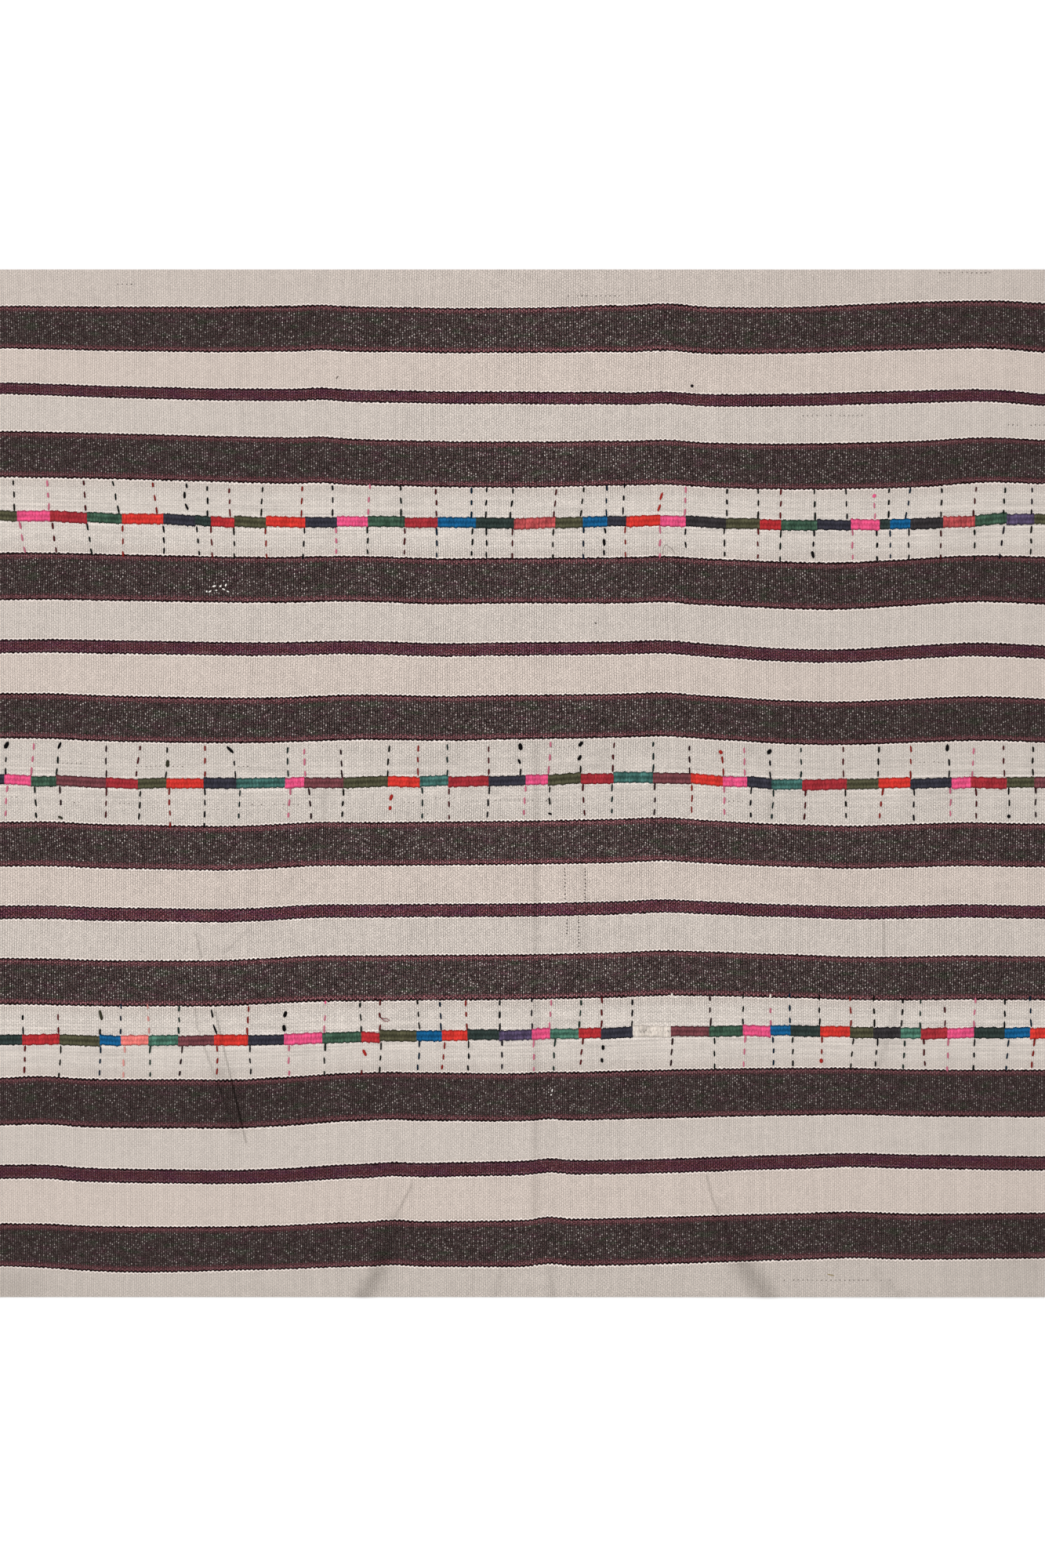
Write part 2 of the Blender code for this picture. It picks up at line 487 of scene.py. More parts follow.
def handspun_wool_cloth(band):
    """Handspun wool in warp-faced weave: matt ribs with a row of small floats on each.

    Every yarn differs a little in tone and thickness, as spindle-spun and home-dyed wool does,
    and the undyed weft shows as pale dots between the floats of the dark stripes. The shade of
    the furrows, gaps and folds, and the highlights beside the stripes, beside the seams and on
    brown crests, are painted into the colour.
    """
    material = bpy.data.materials.new(f"handspun_wool_warp_faced_{band['node']}")
    material.use_nodes = True
    material.node_tree.nodes.clear()
    add = functools.partial(add_node, material.node_tree)
    place = add("UVMap", uv_map="weave")
    ribs = add("SeparateXYZ", place)
    yarns = ribs.node.outputs["Y"]

    # Which rib and which float: on each rib only every second yarn lies on top.
    rib = add("Math FLOOR", ribs)
    in_rib = add("Math FRACT", ribs)
    odd = add("Math FLOORED_MODULO", rib, 2.0)
    shifted = add("Math ADD", yarns, odd)
    pairs = add("Math MULTIPLY", shifted, 0.5)
    float_no = add("Math FLOOR", pairs)
    in_float = add("Math FRACT", pairs)
    float_id = add("CombineXYZ", rib, float_no)
    middles = [add("Math SUBTRACT", part, 0.5) for part in (in_rib, in_float)]
    off_rib, off_float = [add("Math ABSOLUTE", off) for off in middles]

    # How uneven the wool and the weave are: how often each noise turns in a rib and in a yarn.
    noises = []
    for along_it, across_it, scale, detail, roughness in (
        (0.09, 0.22, 1.0, 2.0, 0.5),  # lengths of yarn that were dyed or carded together
        (3.6, 2.8, 1.0, 1.0, 0.7),  # lumps and thin places of the spinning
        (0.03, 0.9, 1.0, 2.0, 0.6),  # single warps that run darker or paler, and puckers beside the sewing in painted light and shade
        (0.05, 0.08, 1.0, 2.0, 0.5),  # where the weaver beat harder, 30 mm and more across
        (0.45, 0.30, 1.0, 2.0, 0.7),  # where a furrow closes for a rib or two
        (0.09, 0.16, 1.0, 2.0, 0.5),  # where the warps lie looser
        (1.3, 5.0, 1.6, 3.0, 0.7),  # the nap of the fibres
    ):
        at = add("Mapping", place, Scale=(along_it, across_it, 1))
        noise = add("TexNoise", at, Scale=scale, Detail=detail, Roughness=roughness)
        noises.append(noise)
    tints, grain, streaks, patches, broken, looseness, nap = noises

    # Fields of undyed wool. Two that meet blend over 3 yarns, and the others change from one to
    # the next under the stripe between them.
    across = add("Math MULTIPLY", yarns, 1 / YARNS)
    wool = add("ValToRGB", across)
    fields = wool.node.color_ramp
    stripes = []
    started = 0.0
    for name, count in band["chart"]:
        if name in FLEECES:
            for at in (started + FIELD_JOIN, started + count - FIELD_JOIN):
                fields.elements.new(at / YARNS).color = linear(FLEECES[name])
        else:
            stripes.append((name, started + count / 2, count / 2))
        started += count
    fields.elements.remove(fields.elements[0])
    fields.elements.remove(fields.elements[len(fields.elements) - 1])

    # How near the seams are: 0 in the middle of the band, 0.5 at a sewn edge. The sewing pulls
    # the cloth up beside it, and the fourth yarn from the edge is painted paler as a painted
    # highlight.
    by_seam = add("Math SUBTRACT", across, 0.5)
    if band["far"].startswith("selvedge"):
        by_seam = add("Math MAXIMUM", by_seam, 0.0)
    if band["near"].startswith("selvedge"):
        by_seam = add("Math MINIMUM", by_seam, 0.0)
    by_seam = add("Math ABSOLUTE", by_seam)
    seam_side_highlight = add("Math COMPARE", by_seam, 0.5 - 3.7 / YARNS, 0.55 / YARNS)
    seam_side_highlight = add("Math MULTIPLY", seam_side_highlight, 0.5)
    wool = add("Mix", seam_side_highlight, wool, linear("#E9DFD8"), data_type="RGBA")

    # How strongly the weave stands out here. The ramp holds half of it, and so stays below 1.
    where = add("TexCoord").node.outputs["Object"]
    along = add("SeparateXYZ", where)
    along = add("Math MULTIPLY_ADD", along, 1 / RUG_LENGTH, 0.5)
    relief = add("ValToRGB", along)
    stations = relief.node.color_ramp.elements
    stations.remove(stations[1])
    for k, strength in enumerate(band["relief"]):
        station = stations.new(k / 4) if k else stations[0]
        station.color = [0.5 * strength] * 3 + [1.0]
    relief = add("Math MULTIPLY", relief, 2.0)

    # The stripes, read along a line that steps by part of a yarn from rib to rib.
    turn = add("Math MULTIPLY", ribs, math.pi)
    step = add("Math SINE", turn)
    loose = add("TexNoise", place, Scale=0.45, Detail=1.0)
    loose = add("Math MULTIPLY_ADD", loose, 1.2, -0.6)
    stepped = add("Math MULTIPLY_ADD", step, 0.26, loose)
    read_at = add("Math ADD", yarns, stepped)
    for name in STRIPES:
        depth = None
        for _, centre, half in [row for row in stripes if row[0] == name]:
            off = add("Math SUBTRACT", read_at, centre)
            off = add("Math ABSOLUTE", off)
            off = add("Math SUBTRACT", half, off)
            depth = off if depth is None else add("Math MAXIMUM", depth, off)
        scaled = add("Math MULTIPLY_ADD", depth, 0.5 / EDGE_SPAN, 0.5)
        stripe = add("ValToRGB", scaled)
        ramp = stripe.node.color_ramp.elements
        ramp[0].color = [0, 0, 0, 0]
        ramp[1].position = 0.999
        last = linear(STRIPES[name][0][1])[:3] + [0]
        for yarn_depth, colour, shows in STRIPES[name]:
            ramp.new(0.5 + 0.5 * (yarn_depth - EDGE_BLUR) / EDGE_SPAN).color = last
            last = linear(colour)[:3] + [shows]
            ramp.new(0.5 + 0.5 * (yarn_depth + EDGE_BLUR) / EDGE_SPAN).color = last
        ramp[len(ramp) - 1].color = last
        # The painted highlight on the pale yarn beside the stripe is weaker where the weave is
        # flatter, as the yarn stands up less.
        lit = add("Math MULTIPLY_ADD", relief, 0.3, 0.75)
        lit = add("MapRange", depth, -0.3, 0.0, lit, 1.0)
        shown = add("Math MULTIPLY", stripe.node.outputs["Alpha"], lit, use_clamp=True)
        wool = add("Mix", shown, wool, stripe, data_type="RGBA")
        inside = add("MapRange", depth, 0.6, 1.0)
        if name == "dark stripe":
            in_brown = add("MapRange", depth, 3.2, 4.4)
            in_dyed = inside
        else:
            plum_depth = depth
            in_plum = inside
            in_dyed = add("Math MAXIMUM", in_dyed, inside)

    # The brown wool is mixed: some lengths lean to green, some to purple.
    tint = add("ValToRGB", tints)
    hues = tint.node.color_ramp
    hues.elements[0].position = 0.34
    hues.elements[0].color = linear("#2B2A23")
    hues.elements[1].position = 0.66
    hues.elements[1].color = linear("#342427")
    for at in (0.42, 0.58):
        hues.elements.new(at).color = linear("#2F2524")
    wool = add("Mix", in_brown, wool, tint, data_type="RGBA")
    purple = add("MapRange", tints, 0.42, 0.70)
    purple = add("Math MULTIPLY", purple, in_plum)
    wool = add("Mix", purple, wool, linear("#41232F"), data_type="RGBA")

    # Tone: each float, each rib and each length of yarn is a little lighter or darker. The brown
    # and dyed wools differ more from float to float, and less from rib to rib.
    on_dyed = add("Math MULTIPLY_ADD", in_dyed, 0.34, 1.0)
    relief = add("Math MULTIPLY", relief, on_dyed)
    by_float = add("TexWhiteNoise", float_id, noise_dimensions="2D")
    by_rib = add("TexWhiteNoise", rib, noise_dimensions="1D")
    rough_spun = add("MapRange", by_seam, 0.40, 0.45, 4.5, 2.8)
    mottle = add("Math SUBTRACT", grain, 0.5)
    tone = add("Math MULTIPLY_ADD", by_float, 0.14, -0.07)
    tone = add("Math MULTIPLY_ADD", mottle, rough_spun, tone)
    tone = add("Math MULTIPLY_ADD", tone, relief, 1.01)
    alike = add("Math MULTIPLY_ADD", in_dyed, -0.045, 0.07)
    tone = add("Math MULTIPLY_ADD", by_rib, alike, tone)
    levelled = add("Math SUBTRACT", 1.0, relief)
    levelled = add("Math MULTIPLY", levelled, in_dyed)
    tone = add("Math MULTIPLY_ADD", levelled, 0.12, tone)
    # In the dyed stripes every second warp lies a little lower, and shows as faint lines of painted
    # shade and light.
    low_warp_shading = add("Math MULTIPLY_ADD", plum_depth, math.pi, -3.45 * math.pi)
    low_warp_shading = add("Math COSINE", low_warp_shading)
    low_warp_shading = add("Math MULTIPLY", low_warp_shading, in_plum)
    tone = add("Math MULTIPLY_ADD", low_warp_shading, 0.045, tone)
    # Beside the sewing the warps lie unevenly tight, and their puckers show as streaks of painted
    # light and shade.
    uneven = add("MapRange", by_seam, 0.36, 0.47, 0.16, 1.10)
    streaks = add("Math SUBTRACT", streaks, 0.5)
    streaks = add("Math MULTIPLY", streaks, uneven)
    tone = add("Math ADD", tone, 0.07)
    tone = add("Math ADD", tone, streaks)
    tone = add("Math MULTIPLY_ADD", patches, 0.08, tone)

    # Shade in the furrow between two ribs and in the gap between two floats, deeper where the
    # wefts were beaten in less.
    furrow = add("MapRange", off_rib, 0.16, 0.5, interpolation_type="SMOOTHSTEP")
    gap = add("MapRange", off_float, 0.28, 0.5, interpolation_type="SMOOTHSTEP")
    deep = add("Math MULTIPLY_ADD", patches, 0.6, -0.36)
    deep = add("Math MULTIPLY_ADD", broken, 0.75, deep)
    deep = add("Math MAXIMUM", deep, 0.02)
    flattened = add("MapRange", by_seam, 0.40, 0.46, 1.0, 0.65)
    closer = add("Math MULTIPLY_ADD", in_dyed, -0.22, 1.0)
    for share in (flattened, closer):
        deep = add("Math MULTIPLY", deep, share)
    shade = add("Math MULTIPLY", furrow, deep)
    sunk = add("Math MULTIPLY_ADD", in_dyed, 0.13, 0.25)
    shade = add("Math MULTIPLY_ADD", gap, sunk, shade)
    # Where the relief is flatter, the furrows lighten and the crests dull towards the mean.
    shade = add("Math SUBTRACT", shade, MEAN_SHADE)
    shade = add("Math MULTIPLY_ADD", shade, relief, MEAN_SHADE)
    shade = add("Math SUBTRACT", 1.0, shade)
    tone = add("Math MULTIPLY", tone, shade)
    # Dyed and brown wool shows the same relief more strongly than undyed wool.
    strength = add("Math MULTIPLY_ADD", in_dyed, 2.0, 1.0)
    tone = add("Math POWER", tone, strength)
    wool = add("Mix", 1.0, wool, tone, data_type="RGBA", blend_type="MULTIPLY")
    # Painted highlight: some floats of brown wool, spun with pale hairs, are painted paler on their
    # crests where they catch the light. The grain mask named worn only picks which floats, and is
    # not wear.
    crest_highlight = add("VectorMath ADD", float_id, (0.0, 0.0, 3.0))
    crest_highlight = add("TexWhiteNoise", crest_highlight)
    crest_highlight = add("Math POWER", crest_highlight, 2.5)
    crest = add("MapRange", off_rib, 0.05, 0.36, 0.36, 0.0, interpolation_type="SMOOTHSTEP")
    worn = add("MapRange", grain, 0.40, 0.66)
    for share in (crest, in_brown, worn):
        crest_highlight = add("Math MULTIPLY", crest_highlight, share)
    wool = add("Mix", crest_highlight, wool, linear("#9A8F8B"), data_type="RGBA")

    # Pale weft between the floats, brightest where the weave is loosest.
    dot_no = add("Math ADD", pairs, 0.5)
    dot_row = add("Math FLOOR", dot_no)
    dot_off = add("Math FRACT", dot_no)
    dot_id = add("CombineXYZ", rib, dot_row, 7.0)
    dot_luck = add("TexWhiteNoise", dot_id)
    nudge = add("VectorMath ADD", dot_id, (0.0, 0.0, 4.0))
    nudge = add("TexWhiteNoise", nudge)
    nudge = add("VectorMath SUBTRACT", nudge.node.outputs["Color"], (0.5, 0.5, 0.5))
    dot_at = add("CombineXYZ", dot_off, in_rib, 0.5)
    dot_at = add("VectorMath SUBTRACT", dot_at, (0.5, 0.5, 0.5))
    dot_at = add("VectorMath MULTIPLY_ADD", nudge, (0.34, 0.22, 0.0), dot_at)
    dot_at = add("VectorMath MULTIPLY", dot_at, (4.4, 3.6, 0.0))
    dot_off = add("VectorMath LENGTH", dot_at)
    dot = add("MapRange", dot_off, 0.25, 1.15, 1.0, 0.0, interpolation_type="SMOOTHSTEP")
    looseness = add("Math MULTIPLY_ADD", looseness, 0.6, -0.29)
    dot_luck = add("Math ADD", dot_luck, looseness)
    bright = add("MapRange", dot_luck, 0.10, 1.1)
    bright = add("Math POWER", bright, 2.7)
    dot = add("Math MULTIPLY", dot, bright)
    open_weave = add("Math MULTIPLY", in_brown, 0.72)
    open_weave = add("Math MULTIPLY_ADD", in_dyed, 0.28, open_weave)
    dot = add("Math MULTIPLY", dot, open_weave)
    dot = add("Math MULTIPLY", dot, relief, use_clamp=True)
    # Dust and painted shade in the folds, and dust on soiled places, grey the wool, and dull the
    # wefts first.
    dust_and_shade = add("Attribute", attribute_name="dust_and_shade").node.outputs["Fac"]
    # A sharp fold keeps its shadow across the dark stripes too.
    shaded = add("Math MULTIPLY_ADD", in_dyed, 1.2, 1.0)
    folds = add("Math MULTIPLY", sharp_folds(add, band, where), shaded)
    dust_and_shade = add("Math MAXIMUM", dust_and_shade, folds, use_clamp=True)
    clean = add("MapRange", dust_and_shade, 0.05, 0.30, 1.0, 0.15)
    dot = add("Math MULTIPLY", dot, clean)
    wool = add("Mix", dot, wool, linear(PALE_WEFT), data_type="RGBA")
    wool = add("Mix", dust_and_shade, wool, linear(DUST_AND_SHADE), data_type="RGBA", blend_type="MULTIPLY")

    # The bulge of each float, and the nap of its fibres.
    bulge = add("Math MULTIPLY", gap, -0.6)
    height = add("Math MULTIPLY_ADD", nap, 0.6, bulge)
    bumps = add("Bump", Strength=0.5, Distance=0.3 * MM, Height=height)
    rough = add("Math MULTIPLY_ADD", nap, 0.15, 0.80)
    shader = add("BsdfPrincipled", Base_Color=wool, Roughness=rough, Normal=bumps,
                 Specular_IOR_Level=0.03, Sheen_Weight=0.01, Sheen_Roughness=0.5)
    add("OutputMaterial", shader)
    return material


for band in BANDS:
    cloth = weave_band(band)
    cloth.data.materials.append(handspun_wool_cloth(band))
    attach(cloth, "root")
    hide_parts(band["node"])

# ------------------------------------------------------------------------------------------
# The sewing
# The bands are joined edge to edge by hand, in thick plied wool. The yarn goes over one edge, up
# through the seam and over the other, so each seam is a raised bar of strands laid side by side
# in two rows that meet in a fishbone. The sewer changed colour every two to four centimetres.
# ------------------------------------------------------------------------------------------

DYES = {
    "pink": "#E55785",
    "vermilion": "#D23A32",
    "red": "#B43236",
    "crimson": "#A23239",
    "brick": "#B24E4F",
    "salmon": "#F2837C",
    "plum": "#744247",
    "violet": "#534762",
    "navy": "#36353F",
    "blue": "#185B8A",
    "teal": "#416862",
    "sea green": "#4A7262",
    "green": "#3E5848",
    "bottle green": "#313C39",
    "olive": "#4F4D3A",
    "black": "#373335",
    "undyed": "#D3C9BF",
}
# The order of colours along each seam from the left end. Each is the dye, its length, and where
# the line of running stitches above it starts (from its right end) and leans to, then where the
# line below it starts (from its left end) and leans to, all in mm. None means no line.
SEWING = {
    "seam_far": [
        ("olive", 23, -2.5, -1, None, 0), ("pink", 31, -1, -1.5, 2, 5),
        ("crimson", 35, -1, -2, 2, 4), ("green", 33, -3, -6, 0, 4),
        ("vermilion", 39, -6, -4.5, 0.5, 0.5), ("navy", 30, -5, -3, 0, 1),
        ("bottle green", 15, -3.5, 0, 1, 3), ("red", 22, -4, -1, 0, 1.5),
        ("olive", 30, -5, 2, -0.5, 0.5), ("vermilion", 37, -4, 1.5, -1, 1.5),
        ("navy", 30, -4, -0.5, -0.5, -1.5), ("pink", 29, 0, 2, -1, 0.5),
        ("green", 35, -3.5, -0.5, -0.5, 0.5), ("crimson", 31, -1, -1, 0, -0.5),
        ("blue", 36, -4, -0.5, -1, 0), ("bottle green", 36, -3.5, 2.5, -3, -1),
        ("brick", 39, -1.5, 3, -1.5, -0.5), ("olive", 26, -2, 3, -2, -0.5),
        ("blue", 23, -1, 0.5, 0.5, 0), ("navy", 18, -3.5, 2, -2.5, -0.5),
        ("vermilion", 32, -1.5, 4.5, -1, 0), ("pink", 24, -0.5, 0.5, 0, -0.5),
        ("black", 38, 0.5, 1, -0.5, 0.5), ("olive", 32, -2, 0.5, -1.5, 0.5),
        ("red", 20, -1, 1, -1.5, -0.5), ("green", 34, -2, -1, 0, -1),
        ("navy", 32, -3.5, -1.5, -3, -0.5), ("pink", 27, -4.5, -0.5, 1.5, 0),
        ("bottle green", 10, -1.5, 0.5, -2.5, 0), ("blue", 19, -4.5, 5, 0, 0.5),
        ("black", 31, -2, 1, -1.5, 0), ("brick", 30, -2, 3.5, -2, -0.5),
        ("green", 30, -3, 1.5, -0.5, 0), ("violet", 26, -3, 1.5, -3, -3.5),
        ("olive", 17, None, 0, -3, -0.5),
    ],
    "seam_middle": [
        ("navy", 11, 1, 0.5, None, 0), ("pink", 25, 0.5, 2.5, 2.5, -2),
        ("green", 24, 0, 3.5, 3.5, 2), ("plum", 47, 0, 0, 3.5, 1),
        ("crimson", 30, -2, 4.5, 0.5, -1), ("olive", 27, -0.5, 1.5, 2.5, -1.5),
        ("vermilion", 35, 1, 0.5, 2.5, 1), ("navy", 31, -0.5, -3, 1.5, -1),
        ("teal", 46, 2.5, 0, 3.5, -1.5), ("pink", 18, 1, -1, 5.5, -3.5),
        ("plum", 37, -1.5, -1.5, 4.5, 2.5), ("olive", 42, -0.5, 2, 0, -1.5),
        ("vermilion", 30, -2, 0.5, 3.5, -2), ("teal", 27, -1, 0, 2.5, 0),
        ("crimson", 38, 0.5, -0.5, 0.5, 0.5), ("navy", 35, -5, 0.5, 0.5, -2),
        ("pink", 21, 0.5, 2.5, 0, -2.5), ("olive", 31, -0.5, 1.5, 1.5, 0.5),
        ("crimson", 31, -1, 1.5, 2, 1.5), ("teal", 37, 0.5, 0, -1.5, -0.5),
        ("plum", 36, -1, -1, 2, -0.5), ("vermilion", 30, 0.5, -2, 0.5, 0.5),
        ("pink", 23, -2.5, 0, 1, 1), ("navy", 23, -1, -1.5, 3.5, 0), ("teal", 29, -1, 0, 2, -2),
        ("crimson", 42, -3, -0.5, 3, -1), ("olive", 30, -0.5, 1, -1, 0.5),
        ("vermilion", 30, 0, 0.5, 4, -3.5), ("navy", 39, -2, -1, 3.5, 0),
        ("pink", 18, 1.5, 2, -1, -0.5), ("crimson", 34, -2, -1.5, 5, 0.5),
        ("olive", 26, -1.5, 0.5, 2, 0.5), ("plum", 17, None, 0, 1.5, -0.5),
    ],
    "seam_near": [
        ("bottle green", 28, 0.5, 0, None, 0), ("red", 35, -1, -0.5, 2.5, -1),
        ("olive", 38, 0, 0.5, 1.5, -2), ("blue", 20, 0, 0, 1, -1.5),
        ("salmon", 26, 0.5, -1, 3.5, -1.5), ("sea green", 28, 0.5, 0.5, 1.5, 0),
        ("plum", 34, 1, -3, 4, -2.5), ("vermilion", 32, -1, 1.5, 3, -0.5),
        ("navy", 34, 0, 1, 1.5, 1), ("pink", 36, 1.5, 1.5, 4.5, 0),
        ("green", 37, 0, -1.5, 2.5, -0.5), ("red", 17, 0.5, 0, 3, -3),
        ("olive", 35, 2.5, -1.5, 1.5, -1.5), ("blue", 24, -1, -1, 3, -2),
        ("vermilion", 24, -0.5, -1.5, 2.5, -2.5), ("bottle green", 30, 0.5, 0, 1.5, -1),
        ("violet", 31, 0, -0.5, 2.5, 0), ("pink", 17, -0.5, 2, 1.5, 0.5),
        ("sea green", 27, 0.5, 2, 4.5, -1.5), ("red", 21, 0.5, 0.5, 4, -2.5),
        ("navy", 30, -0.5, 0.5, 2, -1.5), ("undyed", 36, None, 0, None, 0),
        ("plum", 36, 1.5, -0.5, 2, -2), ("green", 32, 0, 0.5, 5.5, -0.5),
        ("pink", 26, 0, 0.5, 2.5, -2), ("blue", 19, -0.5, -0.5, 2.5, 0.5),
        ("bottle green", 28, -0.5, -0.5, 2, 0), ("vermilion", 28, 1, -1, 2, -1.5),
        ("olive", 22, 1, -0.5, 3.5, -3), ("black", 26, 0.5, 1.5, 4.5, -3),
        ("sea green", 19, -0.5, 0, 4, -2), ("crimson", 25, -2, -1, 2.5, 1.5),
        ("pink", 25, 0, 1.5, 1, -1), ("bottle green", 29, 0, 0.5, 1, -1.5),
        ("blue", 24, 1, -1, 3.5, -2), ("vermilion", 21, None, 0, 4.5, -3.5),
    ],
}
# How much the strands of a dye differ in tone. Mixed dyes take less evenly.
UNEVENNESS = {
    **dict.fromkeys(DYES, 0.13),
    **dict.fromkeys(("teal", "green", "sea green", "violet", "brick"), 0.24),
}
# Painted light and shade on the strands: how light the wool is painted in the groove along the
# seam (painted shade), on the crests (painted highlight) and at the bar's edges, where it goes
# down into the cloth (painted shade). Bright dyes glow in their own shade and get less of it, and
# some dark ones were dyed on pale wool that shows.
STRAND_PAINTED_SHADING = {
    **dict.fromkeys(DYES, (0.72, 1.25, 0.34)),
    **dict.fromkeys(("pink", "vermilion", "red", "salmon", "brick", "crimson"), (0.80, 1.09, 0.52)),
    **dict.fromkeys(("teal", "sea green", "olive"), (0.66, 1.34, 0.42)),
    "undyed": (1.0, 1.10, 0.90),
}
STRAND_PITCH = 1.6 * MM  # two-ply wool, laid strand against strand
BAR_HALF = 5.2 * MM  # from the seam to where the strands go down into the cloth
LAST_STRAND = 1.2 * MM  # no strand's middle is nearer to the rug's end than this
FISHBONE = 0.20 * MM  # how far one row of strands is pulled along past the other
HOLE_SHADOW_SHARE = 0.12  # the share of the undyed strands whose inner ends are painted dark, as the shadow of a hole of the seam beside them
# A strand from just past the seam to where it goes down, and the slanting one underneath: how
# far out each point lies as a share of BAR_HALF, then its height and half thickness in mm.
STRAND = ((-0.26, 0.25, 0.80), (0.14, 0.60, 1.00), (0.52, 0.76, 1.08), (0.85, 0.45, 1.04),
          (1.03, -0.9, 0.72))
UNDER_STRAND = ((-0.95, 0.8, 0.5), (-0.5, 0.22, 0.85), (0.5, 0.22, 0.85), (0.95, 0.8, 0.5))
# Where the sewer took up more of one cloth than of the other: (seam, X, half width, shift) in mm.
TAKEN_UP = [("seam_far", 452, 32, 2.6)]


def plied_wool_yarn():
    """Two-ply wool yarn, dyed in the hank: matt, with a soft diagonal ply twist and some fuzz."""
    material = bpy.data.materials.new("plied_wool_yarn_hank_dyed")
    material.use_nodes = True
    material.node_tree.nodes.clear()
    add = functools.partial(add_node, material.node_tree)
    place = add("UVMap", uv_map="yarn")
    along = add("SeparateXYZ", place)
    around = along.node.outputs["Y"]
    # The attribute dye holds each strand's colour, with any painted light and shade of the sewing
    # in it.
    dye = add("Attribute", attribute_name="dye")
    # Two plies make one turn in 2.4 mm, drawn as two spirals of painted shade in the grooves
    # between them, and as bumps.
    turns = add("Math MULTIPLY_ADD", along, 1 / 2.4, around)
    spiral = add("Math MULTIPLY", turns, 4 * math.pi)
    spiral = add("Math COSINE", spiral)
    fuzz_at = add("Mapping", place, Scale=(1.4, 7.0, 1))
    fuzz = add("TexNoise", fuzz_at, Scale=1.0, Detail=3.0, Roughness=0.7)
    tone = add("Math MULTIPLY_ADD", spiral, 0.10, 0.70)
    tone = add("Math MULTIPLY_ADD", fuzz, 0.60, tone)
    wool = add("Mix", 1.0, dye, tone, data_type="RGBA", blend_type="MULTIPLY")
    height = add("Math MULTIPLY_ADD", spiral, 0.5, fuzz)
    relief = add("Bump", Strength=0.6, Distance=0.15 * MM, Height=height)
    rough = add("Math MULTIPLY_ADD", fuzz, 0.2, 0.72)
    shader = add("BsdfPrincipled", Base_Color=wool, Roughness=rough, Normal=relief,
                 Specular_IOR_Level=0.03, Sheen_Weight=0.01, Sheen_Roughness=0.4)
    add("OutputMaterial", shader)
    return material


def lay_yarns(name, paths, radii, flatness, dyes, material, sides=6):
    """Many lengths of yarn as one mesh: a closed tube along each path.

    radii has one for each point of each path, or one path's for all. dyes has a linear colour
    for each length, or one for each point of each path, with any painted light and shade in it.
    """
    paths = np.asarray(paths, float)
    radii = np.asarray(radii, float)
    count, steps = paths.shape[:2]
    ahead = np.gradient(paths, axis=1)
    ahead /= np.linalg.norm(ahead, axis=-1, keepdims=True)
    sideways = np.cross(ahead, [0.0, 0.0, 1.0])
    sideways /= np.linalg.norm(sideways, axis=-1, keepdims=True)
    up = np.cross(sideways, ahead)
    turn = 2 * math.pi * np.arange(sides) / sides
    swing = np.cos(turn)[:, None] * sideways[:, :, None] + (
        flatness * np.sin(turn)[:, None] * up[:, :, None])
    mesh = close_tubes(name, paths[:, :, None] + radii[..., None, None] * swing)

    # UV map "yarn": millimetres along, from another place in the twist each time, and turns around.
    run = np.linalg.norm(np.diff(paths, axis=1), axis=-1) / MM
    run = np.concatenate([np.zeros((count, 1)), np.cumsum(run, axis=1)], axis=1)
    run = run + 0.37 * np.arange(count)[:, None]
    around = np.arange(sides + 1) / sides
    cap_twist = np.empty((2, count, sides, 2))
    cap_twist[..., 0] = np.stack([run[:, 0], run[:, -1]])[..., None]
    cap_twist[..., 1] = np.stack([around[-2::-1], around[:-1]])[:, None]
    # UV map "OFBake": a cell of a grid for each length, with its two end caps at the cell's right.
    columns = math.ceil(math.sqrt(count))
    rows = math.ceil(count / columns)
    cell_x = (np.arange(count) % columns)[:, None]
    cell_y = (np.arange(count) // columns)[:, None]
    grid = corner_uvs(cell_x + 0.05 + 0.74 * np.arange(steps) / (steps - 1),
                      cell_y + 0.05 + 0.9 * around)
    cap_grid = np.empty_like(cap_twist)
    for end, (order, middle) in enumerate(((turn[::-1], 0.28), (turn, 0.72))):
        cap_grid[end, ..., 0] = cell_x + 0.90 + 0.07 * np.cos(order)
        cap_grid[end, ..., 1] = cell_y + middle + 0.16 * np.sin(order)
    for uv, quads, caps, size in (("yarn", corner_uvs(run, around), cap_twist, (1, 1)),
                                  ("OFBake", grid, cap_grid, (columns, rows))):
        values = np.concatenate([quads, caps.reshape(-1, 2)]) / size
        mesh.uv_layers.new(name=uv).data.foreach_set("uv", values.reshape(-1))

    colours = np.asarray(dyes, float)
    if colours.ndim == 2:
        colours = np.repeat(colours[:, None], steps, axis=1)
    colours = np.repeat(colours.reshape(-1, 4), sides, axis=0)
    dye = mesh.attributes.new("dye", "FLOAT_COLOR", "POINT")
    dye.data.foreach_set("color", colours.reshape(-1))
    mesh.shade_smooth()
    mesh.materials.append(material)
    yarns = bpy.data.objects.new(name, mesh)
    bpy.context.scene.collection.objects.link(yarns)
    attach(yarns, "root")
    return yarns


def dyed(hex_colour, tone):
    """A dye's linear colour, made lighter or darker by a tone near 1."""
    return [min(1.0, share * tone) for share in linear(hex_colour)[:3]] + [1.0]


def block_edges(seam):
    """(dye, left X, right X) of each colour along a seam, in metres."""
    blocks = []
    at = LEFT
    total = sum(row[1] for row in SEWING[seam])
    for dye, length, *_ in SEWING[seam]:
        reach = at + RUG_LENGTH * length / total
        blocks.append((dye, at, reach))
        at = reach
    return blocks


